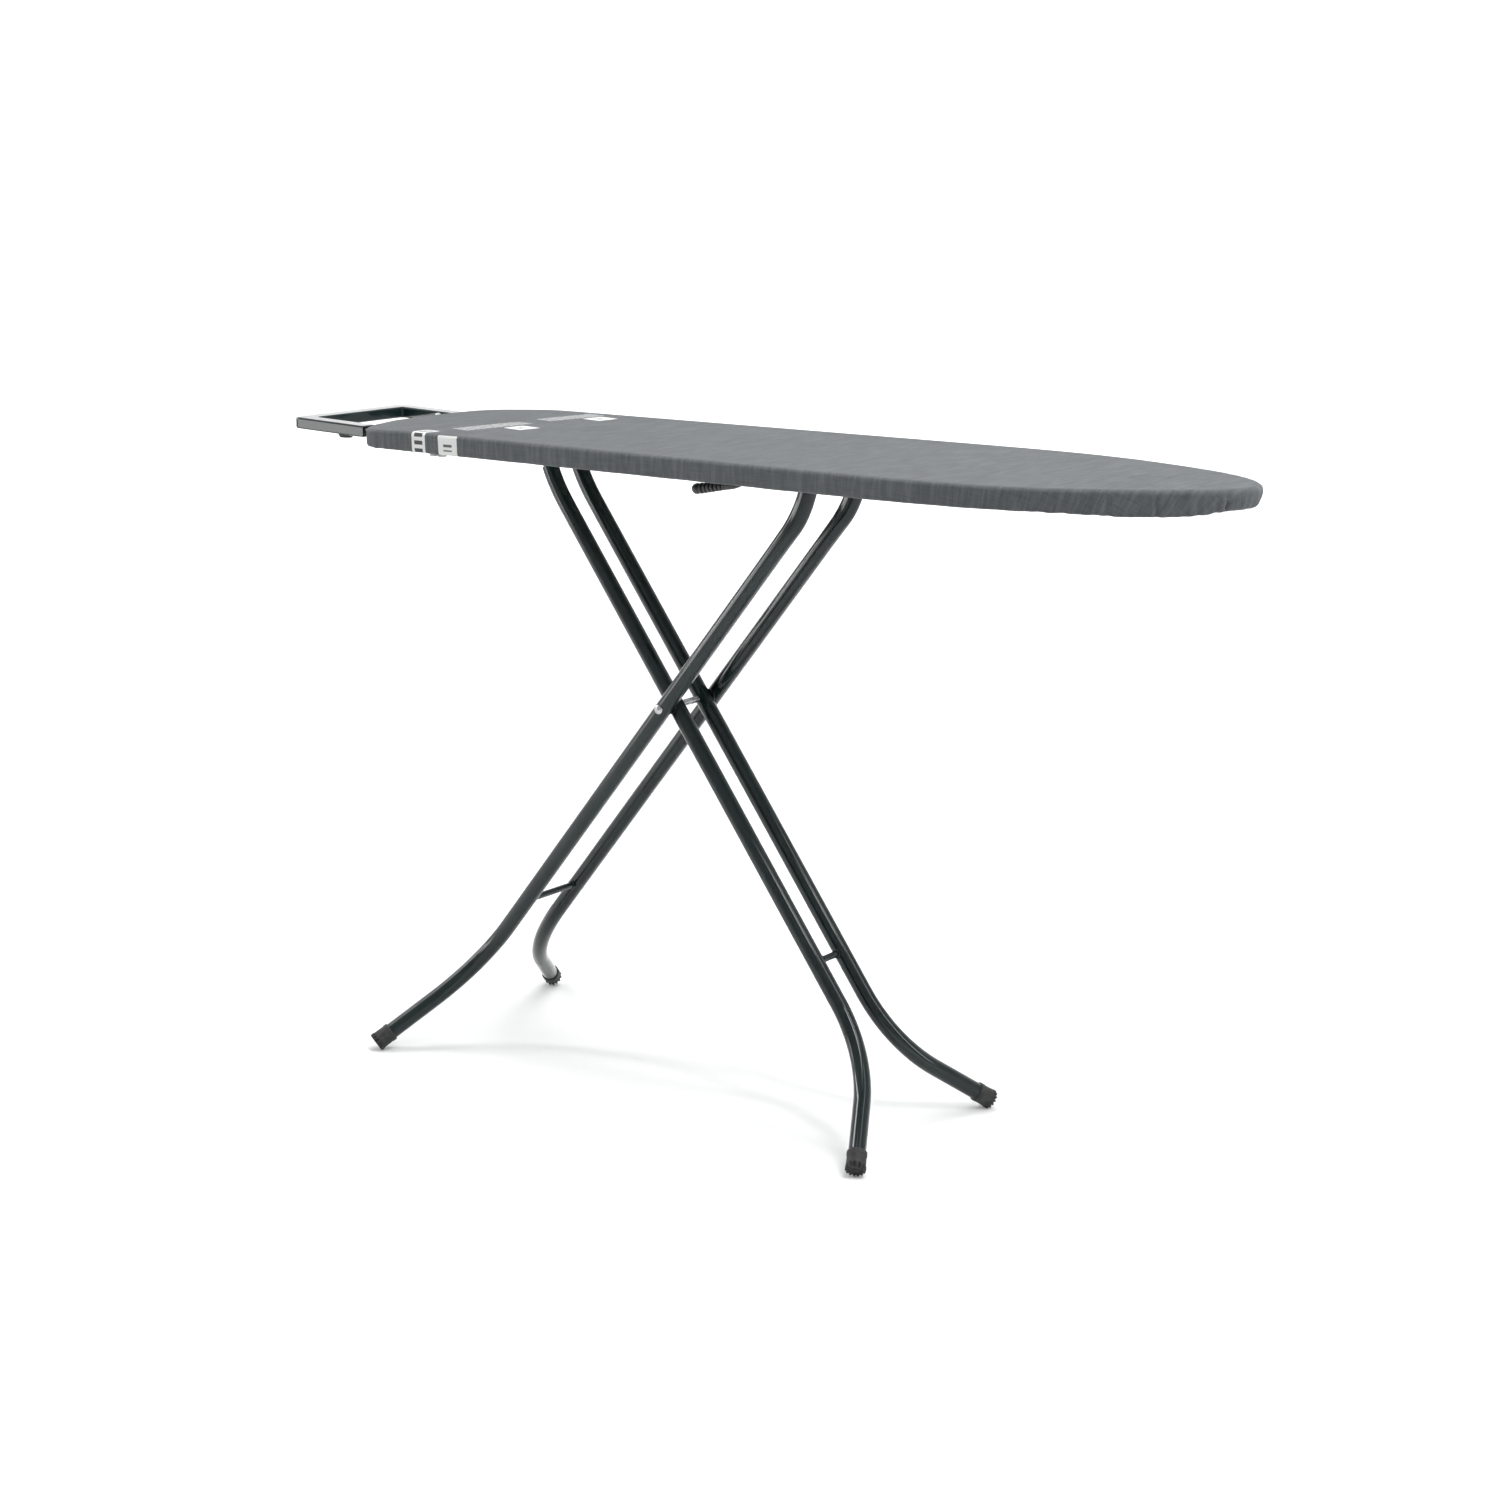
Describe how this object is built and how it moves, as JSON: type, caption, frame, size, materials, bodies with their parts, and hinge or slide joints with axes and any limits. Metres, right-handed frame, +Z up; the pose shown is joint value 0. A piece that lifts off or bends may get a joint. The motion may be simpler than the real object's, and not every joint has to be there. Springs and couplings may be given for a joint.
{
  "type": "ironing board",
  "caption": "Folding ironing board with a padded, fabric-covered top, scissor tube legs, an open iron rest and an under-board release lever.",
  "frame": {"origin": "on the floor, under the middle of the overall length and width", "axes": "+X toward the pointed nose, +Y to the left of someone standing at the rest end and facing the nose, +Z up"},
  "size_m": [1.2843, 0.3442, 0.777],
  "materials": {
    "cover_fabric": "woven cotton, matt",
    "felt_pad": "needled felt",
    "panel_steel": "expanded steel mesh, grey paint",
    "dark_green_paint": "gloss, very dark green",
    "zinc_plated": "zinc plated",
    "black_rubber": "matt",
    "black_plastic": "moulded, satin"
  },
  "bodies": {
    "board": {"cover": "cover_fabric", "edge_tube_left": "dark_green_paint", "edge_tube_nose": "dark_green_paint", "edge_tube_rear": "dark_green_paint", "edge_tube_right": "dark_green_paint", "height_rail": "zinc_plated", "hinge_brace": "dark_green_paint", "hinge_bracket_left": "dark_green_paint", "hinge_bracket_right": "dark_green_paint", "hinge_clip_left": "zinc_plated", "hinge_clip_right": "zinc_plated", "hinge_rod": "zinc_plated", "lever_bracket": "dark_green_paint", "lever_spring": "zinc_plated", "rail_brace_front": "dark_green_paint", "rail_brace_rear": "dark_green_paint", "rest_arm_bolt_left_1": "zinc_plated", "rest_arm_bolt_left_2": "zinc_plated", "rest_arm_bolt_right_1": "zinc_plated", "rest_arm_bolt_right_2": "zinc_plated", "rest_arm_left": "dark_green_paint", "rest_arm_right": "dark_green_paint", "rest_bolt_left": "zinc_plated", "rest_bolt_right": "zinc_plated", "rest_bumper_left": "black_rubber", "rest_bumper_right": "black_rubber", "rest_channel": "dark_green_paint", "rest_frame": "dark_green_paint", "rest_plug_left": "black_plastic", "rest_plug_right": "black_plastic", "stringer_left": "dark_green_paint", "stringer_right": "dark_green_paint", "top_panel": "panel_steel", "underpad": "felt_pad"},
    "inner_leg": {"inner_leg_crossbar": "dark_green_paint", "inner_leg_foot_left": "black_rubber", "inner_leg_foot_right": "black_rubber", "inner_leg_tongue_left": "dark_green_paint", "inner_leg_tongue_right": "dark_green_paint", "inner_leg_tube_left": "dark_green_paint", "inner_leg_tube_right": "dark_green_paint", "pivot_rivet": "zinc_plated", "pivot_spacer": "zinc_plated", "pivot_washer_left": "black_plastic", "pivot_washer_right": "black_plastic"},
    "outer_leg": {"outer_leg_crossbar": "dark_green_paint", "outer_leg_foot_left": "black_rubber", "outer_leg_foot_right": "black_rubber", "outer_leg_tongue_left": "dark_green_paint", "outer_leg_tongue_right": "dark_green_paint", "outer_leg_tube_left": "dark_green_paint", "outer_leg_tube_right": "dark_green_paint", "slide_rod": "zinc_plated", "slide_roller": "black_plastic"},
    "release_lever": {"lever_wire": "dark_green_paint", "lever_grip": "black_plastic", "lever_pawl": "zinc_plated"}
  },
  "joints": [
    {"name": "leg_fold", "type": "hinge", "parent": "board", "child": "inner_leg", "pos_m": [-0.291, 0, 0.746], "axis": [0, -1, 0], "range_deg": [0, 49]},
    {"name": "leg_scissor", "type": "hinge", "parent": "inner_leg", "child": "outer_leg", "pos_m": [-0.085, 0, 0.4677], "axis": [0, -1, 0], "range_deg": [-98, 0]},
    {"name": "lever_squeeze", "type": "hinge", "parent": "board", "child": "release_lever", "pos_m": [0.098, 0, 0.755], "axis": [0, 1, 0], "range_deg": [0, 8], "stiffness_Nm_per_rad": 0.5, "springref_deg": -17.19}
  ],
  "couplings": [
    {"joint": "leg_scissor", "follows": "leg_fold", "ratio": -2}
  ]
}
